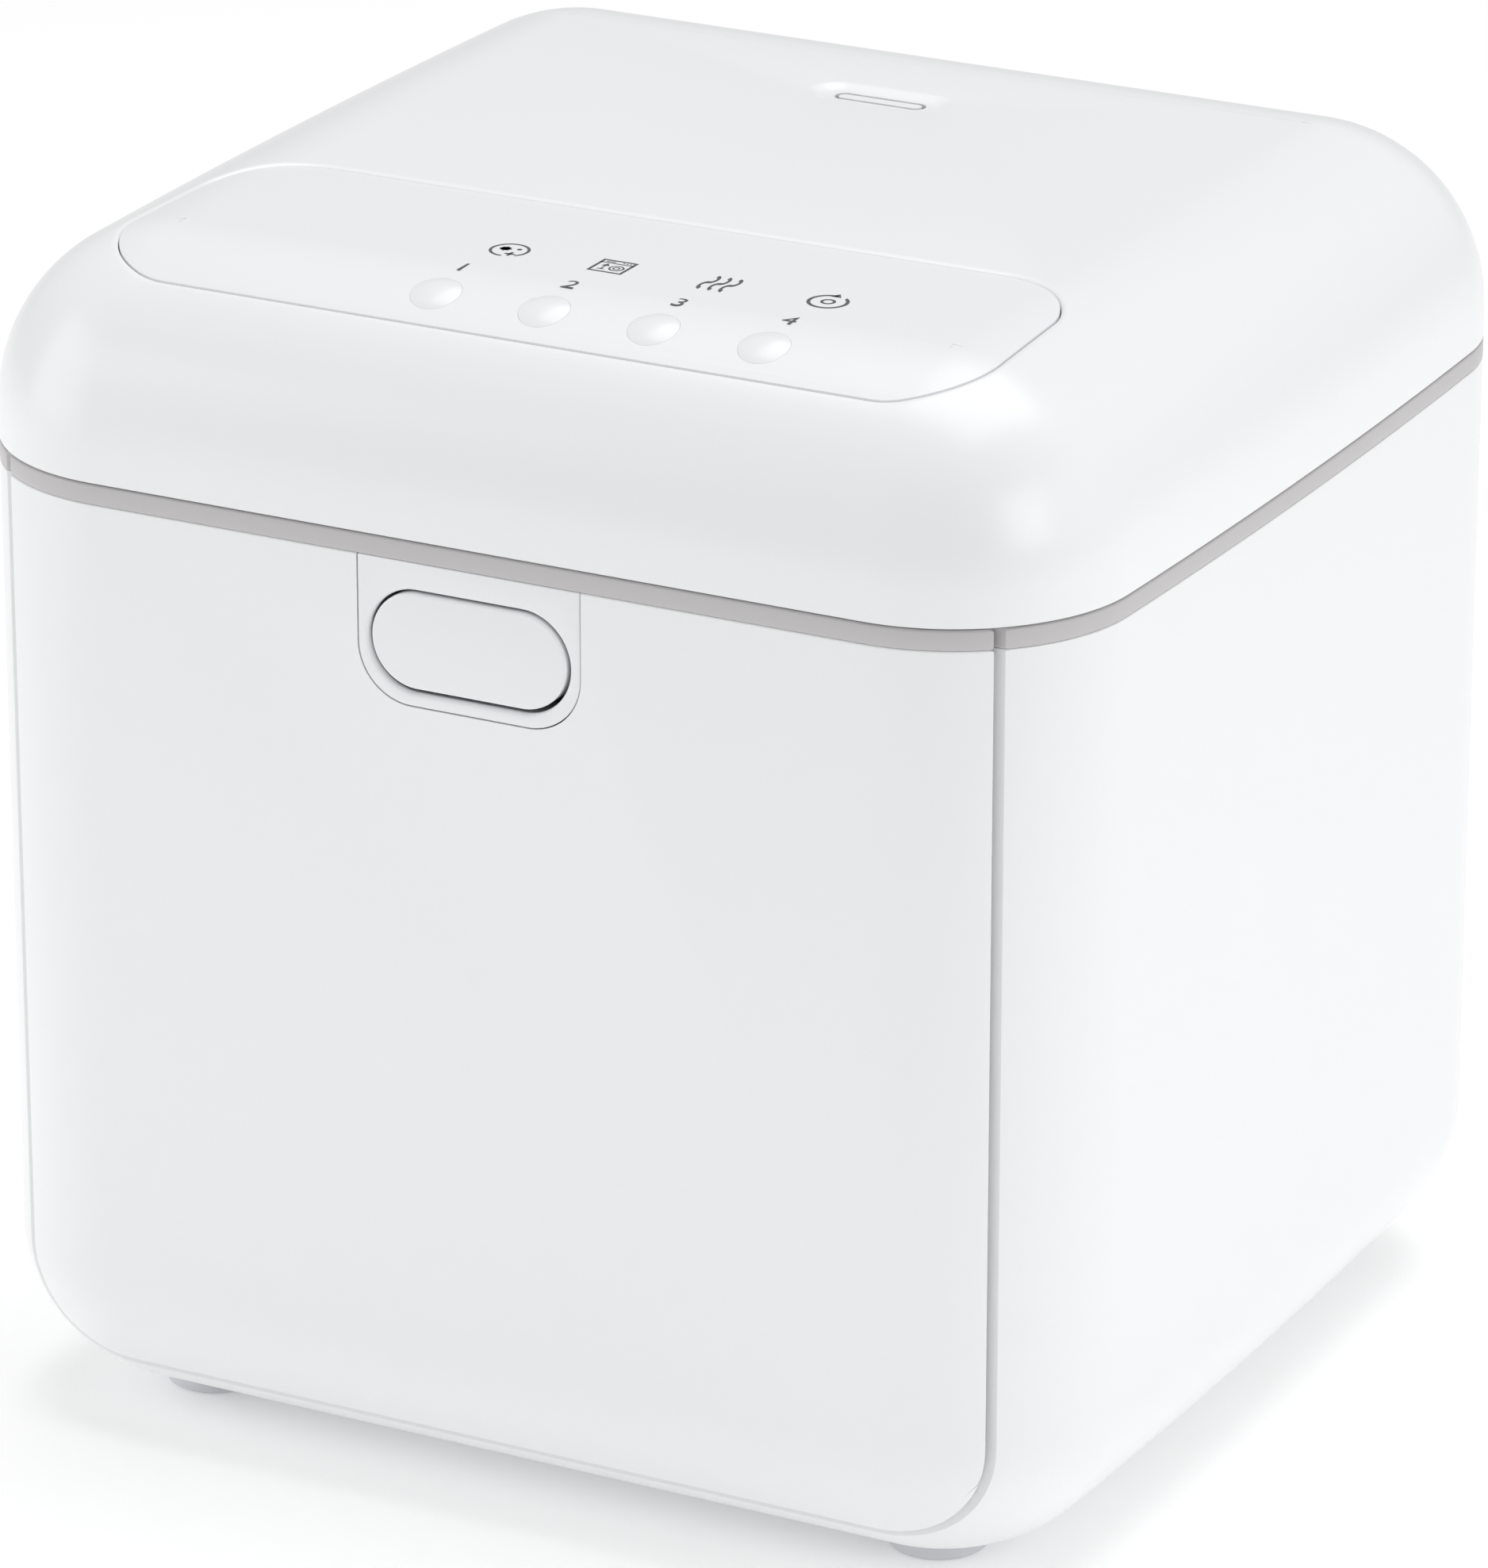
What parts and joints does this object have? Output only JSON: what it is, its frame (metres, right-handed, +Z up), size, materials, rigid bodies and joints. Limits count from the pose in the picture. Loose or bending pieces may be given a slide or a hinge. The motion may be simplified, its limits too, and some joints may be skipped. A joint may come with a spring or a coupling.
{
  "type": "chopstick sterilizer box",
  "caption": "Rounded cube-shaped countertop steriliser for chopsticks and tableware, with a rear-hinged lid, a control panel on the lid and a front release button.",
  "frame": {"origin": "on the surface that the feet stand on, under the middle of the whole box with its hinges", "axes": "+Z up; the front with the release button faces -Y; +X is to the right as seen from the front"},
  "size_m": [0.3, 0.2986, 0.3037],
  "materials": {
    "white_gloss": "satin gloss, moulded",
    "panel_grey_white": "satin, moulded",
    "button_white": "gloss, moulded",
    "trim_grey": "satin, moulded",
    "inner_white": "matte, moulded",
    "basket_grey": "matte, moulded",
    "dark_plastic": "matte, moulded",
    "steel_tub": "drawn sheet, brushed",
    "spring_steel": "rolled strip",
    "hinge_metal": "powder coated casting",
    "pin_steel": "ground and plated",
    "reflector_aluminium": "polished sheet",
    "fin_aluminium": "mill finish",
    "rubber_grey": "soft, moulded",
    "seal_silicone": "soft, moulded",
    "quartz": "clear, polished",
    "lamp_glass": "clear, drawn tube",
    "board_green": "solder-resist lacquer",
    "magnet_grey": "sintered"
  },
  "bodies": {
    "housing": {"body_shell": "white_gloss", "front_panel": "white_gloss", "trim_ring": "trim_grey", "release_bezel": "panel_grey_white", "latch_spring": "spring_steel", "top_frame": "inner_white", "inner_tub": "steel_tub", "base_cover": "inner_white", "feet": "rubber_grey", "hinge_bracket": "hinge_metal", "hinge_pin": "pin_steel", "blower_housing": "dark_plastic", "blower_motor": "dark_plastic", "air_duct": "inner_white", "ptc_heater": "fin_aluminium", "power_board": "board_green", "power_inlet": "dark_plastic", "inlet_pins": "pin_steel", "lid_sensor": "dark_plastic"},
    "lid": {"lid_cover": "white_gloss", "control_panel": "panel_grey_white", "control_board": "board_green", "lid_liner": "inner_white", "lid_seal": "seal_silicone", "lamp_window": "quartz", "uv_lamps": "lamp_glass", "lamp_sockets": "inner_white", "lamp_reflector": "reflector_aluminium", "striker": "spring_steel", "lid_magnet": "magnet_grey", "hinge_arm": "hinge_metal"},
    "release_button": {"release_button": "button_white"},
    "basket": {"basket": "basket_grey", "chopstick_tray": "basket_grey"},
    "blower_wheel": {"blower_impeller": "dark_plastic"},
    "mode_button_1": {"mode_button_1": "button_white"},
    "mode_button_2": {"mode_button_2": "button_white"},
    "mode_button_3": {"mode_button_3": "button_white"},
    "mode_button_4": {"mode_button_4": "button_white"}
  },
  "joints": [
    {"name": "lid_hinge", "type": "hinge", "parent": "housing", "child": "lid", "pos_m": [0, 0.14325, 0.25], "axis": [-1, 0, 0], "range_deg": [0, 85], "deforming": ["latch_spring"]},
    {"name": "release_button_press", "type": "slide", "parent": "housing", "child": "release_button", "axis": [0, 1, 0], "range_m": [0, 0.003], "stiffness_N_per_m": 800, "springref_m": -0.001, "deforming": ["latch_spring"]},
    {"name": "basket_lift", "type": "slide", "parent": "housing", "child": "basket", "axis": [0, 0, 1], "range_m": [0, 0.055]},
    {"name": "blower_spin", "type": "hinge", "parent": "housing", "child": "blower_wheel", "pos_m": [-0.02, 0.01395, 0.03], "axis": [0, 0, 1], "continuous": true},
    {"name": "mode_button_1_press", "type": "slide", "parent": "lid", "child": "mode_button_1", "axis": [0, 0.3261, -0.9453], "range_m": [0, 0.0008], "stiffness_N_per_m": 900, "springref_m": -0.0004},
    {"name": "mode_button_2_press", "type": "slide", "parent": "lid", "child": "mode_button_2", "axis": [0, 0.3261, -0.9453], "range_m": [0, 0.0008], "stiffness_N_per_m": 900, "springref_m": -0.0004},
    {"name": "mode_button_3_press", "type": "slide", "parent": "lid", "child": "mode_button_3", "axis": [0, 0.3261, -0.9453], "range_m": [0, 0.0008], "stiffness_N_per_m": 900, "springref_m": -0.0004},
    {"name": "mode_button_4_press", "type": "slide", "parent": "lid", "child": "mode_button_4", "axis": [0, 0.3261, -0.9453], "range_m": [0, 0.0008], "stiffness_N_per_m": 900, "springref_m": -0.0004}
  ]
}
